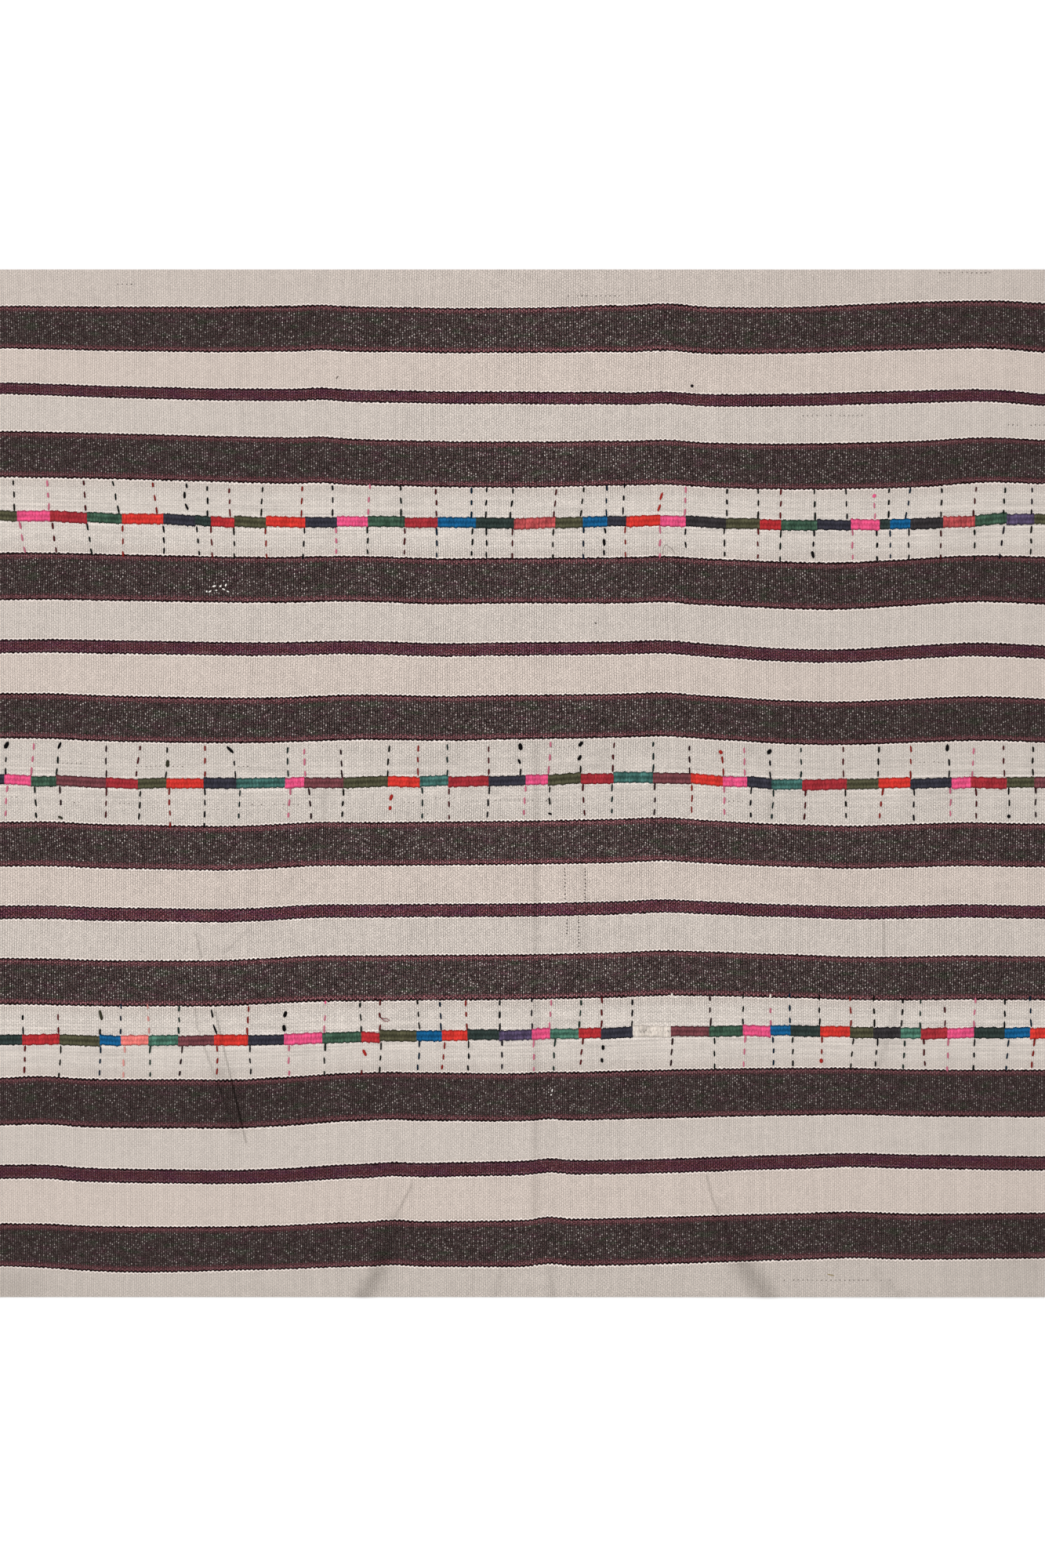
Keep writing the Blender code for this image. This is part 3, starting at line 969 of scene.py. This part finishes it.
yarn = plied_wool_yarn()
sewing_pieces = []
for seam in SEWING:
    luck = random.Random(seam)
    paths, dyes, under_paths, under_dyes = [], [], [], []
    stitch = 0
    for dye, block_left, block_right in block_edges(seam):
        uneven = UNEVENNESS[dye]
        # The painted shade of the groove, the painted highlight of the crests and the painted shade
        # of the edges, for this dye.
        groove, crest, edge = STRAND_PAINTED_SHADING[dye]
        # Each colour was started anew, so its bar is as wide and as straight as it came out.
        fullness = luck.uniform(0.90, 1.04)
        slope = luck.uniform(-0.8, 0.8) * MM
        shift = luck.uniform(-0.5, 0.5) * MM
        strands = round((block_right - block_left) / STRAND_PITCH)
        for k in range(strands):
            share = (k + 0.5) / strands
            x = block_left + (block_right - block_left) * share
            inside = min(max(x, LEFT + LAST_STRAND), RIGHT - LAST_STRAND)
            centre = float(line_y(seam, inside)) + slope * (share - 0.5) * 2 + shift
            for name, at, half_width, taken in TAKEN_UP:
                if name == seam:
                    near_it = ((inside / MM - at) / half_width) ** 2
                    centre += taken * MM * math.exp(-near_it / 2)
            lift, dust_and_shade = (float(mark) for mark in fold_marks(inside, centre))
            cloth = CLOTH_TOP - SEAM_DIP + lift
            # A strand in a fold is darker by the fold's dust and painted shade.
            tone = luck.uniform(1 - uneven, 1 + uneven) * (1 - 0.8 * dust_and_shade)
            pull = 1 if stitch % 2 else -1
            for side in (1, -1):
                # The strands reach out further where they were pulled less.
                swell = math.sin(inside / (1.05 * MM) + 3 * math.sin(inside / (13 * MM)) + side)
                swell = swell * math.sin(inside / (5.3 * MM) + 2 * side)
                half = BAR_HALF * fullness + (0.65 * swell + luck.uniform(-0.2, 0.2)) * MM
                inner_x = inside + pull * side * FISHBONE
                outer_x = inside + luck.uniform(-0.12, 0.12) * MM
                path = []
                for out, height, _ in STRAND:
                    lean = inner_x + (outer_x - inner_x) * max(out, 0)
                    path.append((lean, centre + side * half * out, cloth + height * MM))
                paths.append(path)
                # Here and there a hole of the seam shows between the undyed strands, as painted
                # shadow on a strand's inner end.
                hole_shadow = dye == "undyed" and luck.random() < HOLE_SHADOW_SHARE
                inner = 0.55 if hole_shadow else groove
                shades = []
                for station, shade in enumerate((inner, inner, crest, edge, 0.3 * edge)):
                    streak = math.sin(inside / (2.9 * MM) + 1.9 * station * side + fullness * 90)
                    streak *= math.sin(inside / (7.3 * MM) + 2.7 * station - side)
                    mottled = luck.uniform(1 - 0.6 * uneven, 1 + 0.6 * uneven)
                    shades.append(tone * shade * mottled * (1 + 1.2 * uneven * streak))
                dyes.append([dyed(DYES[dye], shade) for shade in shades])
            # Underneath, the yarn slants from one edge to the other.
            if stitch % 2:
                under = []
                for out, height, _ in UNDER_STRAND:
                    under.append((inside + out * 0.9 * MM, centre + out * BAR_HALF,
                                  CLOTH_UNDER + lift + height * MM))
                under_paths.append(under)
                under_dyes.append(dyed(DYES[dye], tone))
            stitch += 1
    radii, under_radii = ([MM * thick for _, _, thick in row] for row in (STRAND, UNDER_STRAND))
    bar = lay_yarns(f"{seam}_sewing", paths, radii, 0.72, dyes, yarn)
    back = lay_yarns(f"{seam}_sewing_underside", under_paths, under_radii, 0.5, under_dyes, yarn)
    sewing_pieces += [bar, back]

# ------------------------------------------------------------------------------------------
# The running stitches
# Where the sewer started a colour, the yarn was run into the cloth in a line of small stitches,
# down from the seam at the block's left end and up from it at the right end, as far as the dark
# stripes. The stitches hold the yarn's ends, and lean a little as they were sewn by eye.
# ------------------------------------------------------------------------------------------

# One strand of a light dye is thin enough for the undyed wool to show through it.
THIN_STRANDS = {"pink": "#C96C84", "salmon": "#D8928B"}
# Single strands are painted darker than the bar, as the shade where they are sunk in the cloth:
# share of the dye.
STITCH_PAINTED_SHADE = {
    **dict.fromkeys(DYES, 0.06), "pink": 0.84, "salmon": 0.84, "vermilion": 0.30, "red": 0.20,
    "crimson": 0.15, "brick": 0.12, "plum": 0.10, "sea green": 0.15, "teal": 0.12, "blue": 0.10,
}
KNOT_TONE = {**dict.fromkeys(DYES, 0.5), "black": 0.08, "olive": 0.4, "undyed": 1.2, "pink": 0.9}
# Extra lines where the sewer joined in a second strand: (side, dye, X and lean in mm). The side
# is 1 for above the seam and -1 for below it.
EXTRA_LINES = {"seam_far": [(1, "bottle green", -35, 1.5), (-1, "bottle green", -34, 0)]}
# Knots and thick stitches where an end was fastened off: (side, dye, X, distance from the seam,
# half length, half width, lean), in mm.
KNOTS = {
    "seam_far": [
        (1, "black", -317, 13, 3.4, 1.1, -1.6), (1, "black", -319, 24, 3.6, 1.2, 0),
        (-1, "black", 77, 20, 3.6, 1.4, 0.3), (-1, "black", 78, 9, 3.0, 0.9, 0.6),
        (-1, "black", 274, 28, 3.6, 1.5, 0.8), (1, "pink", 332, 27, 1.5, 1.6, 1.0),
        (1, "vermilion", 129, 12, 3.6, 1.1, 1.3), (1, "vermilion", 131, 23, 4.0, 1.1, 1.4),
    ],
    "seam_middle": [
        (1, "black", -487, 33, 3.2, 2.0, 1.6), (1, "black", -437, 34, 3.6, 1.2, 1.6),
        (1, "olive", -335, 19, 3.6, 1.8, 0.3), (1, "black", -276, 32, 3.4, 1.4, -3.6),
        (1, "black", -2, 32, 3.4, 2.0, -0.4), (1, "black", -3, 18, 2.6, 1.2, -1.0),
        (1, "black", 55, 33, 2.4, 1.7, 1.8), (1, "black", 54, 20, 2.6, 1.6, 1.4),
        (1, "vermilion", 187, 27, 1.6, 1.7, -1.2), (1, "black", 233, 30, 2.2, 2.0, 1.6),
        (1, "black", 401, 33, 3.4, 1.7, 0.3), (-1, "vermilion", -124, 15, 3.0, 1.6, -1.0),
        (-1, "vermilion", -125, 25, 2.0, 1.4, -0.4), (-1, "olive", -436, 34, 1.2, 1.2, 2.4),
        (-1, "black", 26, 32, 0.8, 1.0, 2.0), (-1, "black", 459, 32, 1.6, 1.7, 0.5),
    ],
    "seam_near": [
        (1, "black", -293, 25.6, 4.6, 0.9, -0.9), (1, "black", -290.2, 10.9, 5.4, 0.95, -2.1),
        (1, "olive", -398, 24, 5.2, 1.5, -1.2), (1, "black", -224, 24, 3.0, 1.7, 1.0),
        (1, "black", -225, 11, 3.2, 1.8, -0.4), (-1, "vermilion", -149, 15, 3.2, 1.4, 1.6),
        (-1, "black", 76, 14, 2.4, 1.5, 0), (-1, "black", 75, 26, 2.2, 1.4, 0.4),
        (-1, "vermilion", 282, 28, 2.0, 1.8, 0), (1, "undyed", 141, 35, 1.4, 1.0, 0),
        (1, "undyed", 234, 33, 1.8, 1.0, 0), (1, "pink", -186, 34, 1.6, 0.9, 0),
    ],
}
# A stitch from end to end: share of its half length, and height over the cloth in mm.
STITCH = ((-1.0, -0.7), (-0.5, 0.35), (0.5, 0.35), (1.0, -0.7))
# How the stitches of a line vary, in mm: from the bar's edge to the middle of the first, from
# one middle to the next, half length, and half width.
FIRST_AT, NEXT_AT, HALF_LONG, HALF_WIDE = (2.4, 4.4), (10.2, 12.2), (2.9, 4.3), (0.70, 0.94)
CLEAR_OF_KNOT = 4.5  # mm: no running stitch lies nearer to a knot than this


def stitch_path(seam, x, side, out, half, lean):
    """One running stitch: up out of the cloth, along it, and down again. lean is in metres."""
    path = []
    for part, height in STITCH:
        at_x = x + part * lean
        at_y = float(line_y(seam, x)) + side * (out + part * half)
        lift = float(fold_marks(at_x, at_y)[0])
        path.append((at_x, at_y, CLOTH_TOP + lift + height * MM))
    return path


for seam, above, below in zip(SEWING, BANDS, BANDS[1:]):
    luck = random.Random(f"{seam} stitches")
    # How far from the seam the dark stripe starts, on each side.
    field = {}
    for side, chart in ((1, above["chart"][::-1]), (-1, below["chart"])):
        first_dark = [name for name, _ in chart].index("dark stripe")
        field[side] = YARN_PITCH * sum(count for _, count in chart[:first_dark])
    lines = []
    for row, (dye, block_left, block_right) in zip(SEWING[seam], block_edges(seam)):
        _, _, foot_above, lean_above, foot_below, lean_below = row
        if foot_above is not None:
            lines.append((dye, 1, block_right + foot_above * MM, lean_above * MM))
        if foot_below is not None:
            lines.append((dye, -1, block_left + foot_below * MM, lean_below * MM))
    for side, dye, x, lean in EXTRA_LINES.get(seam, []):
        lines.append((dye, side, x * MM, lean * MM))
    paths, radii, dyes = [], [], []
    for dye, side, foot, lean in lines:
        step = luck.uniform(*NEXT_AT) * MM
        middle = BAR_HALF + luck.uniform(*FIRST_AT) * MM
        while middle < field[side] + 0.5 * MM:
            reached = (middle - BAR_HALF) / (field[side] - BAR_HALF)
            half = luck.uniform(*HALF_LONG) * (1.05 - 0.25 * reached) * MM
            x = foot + lean * reached + luck.uniform(-0.3, 0.3) * MM
            slant = half * (lean / (field[side] - BAR_HALF) + luck.uniform(-0.12, 0.12))
            out = middle + luck.uniform(-0.8, 0.8) * MM
            middle = out + step
            if any(on == side and abs(at * MM - x) < CLEAR_OF_KNOT * MM
                   and abs(away * MM - out) < (CLEAR_OF_KNOT + length) * MM
                   for on, _, at, away, length, *_ in KNOTS[seam]):
                continue
            paths.append(stitch_path(seam, x, side, out, half, slant))
            thick = luck.uniform(*HALF_WIDE) * MM
            radii.append([0.6 * thick, thick, thick, 0.6 * thick])
            strand = THIN_STRANDS.get(dye, DYES[dye])
            dyes.append(dyed(strand, luck.uniform(0.85, 1.15) * STITCH_PAINTED_SHADE[dye]))
    for side, dye, *sizes in KNOTS[seam]:
        x, out, half, thick, lean = (MM * size for size in sizes)
        paths.append(stitch_path(seam, x, side, out, half, lean))
        radii.append([0.5 * thick, thick, 0.9 * thick, 0.4 * thick])
        dyes.append(dyed(DYES[dye], KNOT_TONE[dye]))
    lay_yarns(f"{seam}_running_stitches", paths, radii, 0.7, dyes, yarn)

# ------------------------------------------------------------------------------------------
# The stray fibres
# Hand-carded fleece is never quite clean. A dark hair spun into an undyed warp shows as a row of
# small specks, once every second rib, and odd knots, flecks and loose hairs lie on the cloth.
# ------------------------------------------------------------------------------------------

STRAY_COLOURS = {"hair": "#6F655F", "dark hair": "#4A423E", "black": "#1C1718", "white": "#F4EFE8",
                 "straw": "#93804F", "red": "#7C2A35", "grey": "#8E847D"}
SPECK_STEP = 4.3  # mm from speck to speck, which is two ribs
SPECKS_SHOWN = 0.8  # the share of them that comes to the top
# Dark hairs spun into the warps: (left X, right X, Y) in mm, and their colour.
SPUN_IN = [
    (-382, -365, 471, "dark hair"), (43, 95, 460, "dark hair"), (394, 443, 482, "hair"),
    (261, 321, 347, "dark hair"), (454, 494, 338, "dark hair"), (247, 350, -469, "hair"),
    (-438, -415, 19, "hair"), (-364, -340, 16, "hair"), (-334, -316, 16, "hair"),
    (-268, -256, 16, "hair"), (-482, -475, -13, "hair"), (-423, -416, -18, "hair"),
    (-384, -371, -19, "hair"), (-255, -210, -20, "hair"), (-193, -175, 35, "hair"),
    (-19, -2, 19, "hair"), (27, 51, 34, "hair"), (-116, -102, -18, "hair"),
    (-94, -87, -29, "hair"), (-82, -54, -14, "hair"), (-25, 25, -16, "hair"),
    (375, 401, 20, "hair"), (195, 208, -17, "hair"), (109, 117, -264, "hair"),
]
# Where dark hairs were in a weft instead: (X, far Y, near Y) in mm.
IN_THE_WEFT = [(40, -81, -112), (59, -81, -112), (42, -129, -145), (53, -126, -156)]
# Flecks that lie on the cloth: (x, y), half length and half width in mm, degrees anticlockwise
# from along the warps, and their colour. The white ones are wefts that rubbing has laid bare.
FLECKS = [
    (-175, 383, 1.9, 0.55, 55, "hair"), (160, 375, 1.3, 1.50, 0, "black"),
    (69, 151, 1.0, 0.60, -35, "dark hair"), (291, -464, 3.6, 0.42, -15, "straw"),
    (-343, 82, 0.9, 0.90, 0, "black"), (28, -290, 1.4, 0.55, 80, "white"),
    (27, -294, 0.8, 0.60, 60, "white"), (-298, 181, 0.9, 0.80, 90, "white"),
    (-295, 181, 1.5, 0.65, 30, "white"), (-291, 186, 1.7, 0.80, 15, "white"),
    (-285, 186, 1.2, 0.80, 40, "white"), (-289, 182, 0.8, 0.70, 0, "white"),
    (-280, 187, 1.4, 0.75, 65, "white"), (-282, 183, 1.5, 0.60, -25, "white"),
    (-278, 181, 1.2, 0.60, -20, "white"), (-282, 191, 0.6, 0.50, 0, "white"),
    (-134, -221, 1.2, 0.60, -25, "black"),
]
# Loose hairs, as their paths in mm. The red one is a small loop of sewing yarn.
LOOSE_HAIRS = [
    ([(132.6, 217), (132.8, 220.5), (134, 224.5), (135.5, 225.3), (139, 222.8), (142, 220.3),
      (143.2, 217)], 0.22, "grey"),
    ([(-133.5, -221.5), (-131, -222.2), (-128, -222.3), (-125.4, -223.6), (-128, -225),
      (-131, -224.2), (-133.5, -221.7)], 0.34, "red"),
]

luck = random.Random("stray fibres")
paths, radii, dyes = [], [], []
marks = []
for left, right, y, colour in SPUN_IN:
    x = left
    while x < right:
        if luck.random() < SPECKS_SHOWN:
            marks.append((x, y + luck.uniform(-0.25, 0.25), luck.uniform(0.5, 0.9),
                          luck.uniform(0.26, 0.42), luck.uniform(10, 45), colour))
        x += SPECK_STEP + luck.uniform(-0.3, 0.3)
for x, far, near in IN_THE_WEFT:
    y = far
    while y > near:
        marks.append((x + luck.uniform(-0.3, 0.3), y, 0.6, luck.uniform(0.50, 0.72), 0,
                      "dark hair"))
        y -= luck.uniform(2.2, 4.2)
for x, y, half, thick, degrees, colour in marks + FLECKS:
    across = half * math.cos(math.radians(degrees))
    up = half * math.sin(math.radians(degrees))
    path = []
    for part, height in ((-1.0, -0.15), (-0.4, 0.12), (0.4, 0.12), (1.0, -0.15)):
        at = ((x + part * across) * MM, (y + part * up) * MM)
        path.append((*at, CLOTH_TOP + float(fold_marks(*at)[0]) + height * MM))
    paths.append(path)
    radii.append([0.5 * thick * MM, thick * MM, thick * MM, 0.5 * thick * MM])
    dyes.append(linear(STRAY_COLOURS[colour]))
strays = [lay_yarns("stray_flecks", paths, radii, 0.5, dyes, yarn)]
for number, (path, thick, colour) in enumerate(LOOSE_HAIRS, 1):
    points = [(x * MM, y * MM, CLOTH_TOP + 0.2 * MM + float(fold_marks(x * MM, y * MM)[0]))
              for x, y in path]
    strays.append(lay_yarns(f"loose_hair_{number}", [points], [[thick * MM] * len(points)], 0.8,
                            [linear(STRAY_COLOURS[colour])], yarn, sides=5))

# ------------------------------------------------------------------------------------------
# The floor, the light and the camera
# A plain white floor under soft, even light from above, looked at from straight overhead.
# ------------------------------------------------------------------------------------------

bpy.ops.mesh.primitive_circle_add(vertices=96, radius=7.0, fill_type="NGON", location=(0, 0, 0))
floor = bpy.context.object
floor.name = "studio_floor"
paper = bpy.data.materials.new("white_studio_paper")
paper.use_nodes = True
coat = paper.node_tree.nodes["Principled BSDF"]
coat.inputs["Base Color"].default_value = linear("#FFFFFF")
coat.inputs["Roughness"].default_value = 0.9
coat.inputs["Specular IOR Level"].default_value = 0.1
floor.data.materials.append(paper)

world = bpy.data.worlds.new("even_white_studio")
bpy.context.scene.world = world
world.use_nodes = True
sky = world.node_tree.nodes["Background"]
sky.inputs["Color"].default_value = (1.0, 1.0, 1.0, 1.0)
sky.inputs["Strength"].default_value = 0.89

bpy.ops.object.light_add(type="AREA", location=(-3.4, 1.5, 4.8))
key = bpy.context.object
key.name = "key_softbox"
key.data.shape = "DISK"
key.data.size = 3.0
key.data.energy = 122.0
key.rotation_euler = (math.radians(-14.3), math.radians(-35.3), 0)

FULL_HEIGHT = 1.480  # metres of floor in view along Y
CAMERA_ABOVE = 4.0
bpy.ops.object.camera_add(location=(0, -0.7 * MM, CAMERA_ABOVE + CLOTH_TOP), rotation=(0, 0, 0))
camera = bpy.context.object
camera.name = "overhead_camera"
camera.data.sensor_width = 36.0
camera.data.lens = 36.0 * CAMERA_ABOVE / FULL_HEIGHT
camera.data.clip_end = 50.0
bpy.context.scene.camera = camera
bpy.context.scene.view_settings.view_transform = "Standard"
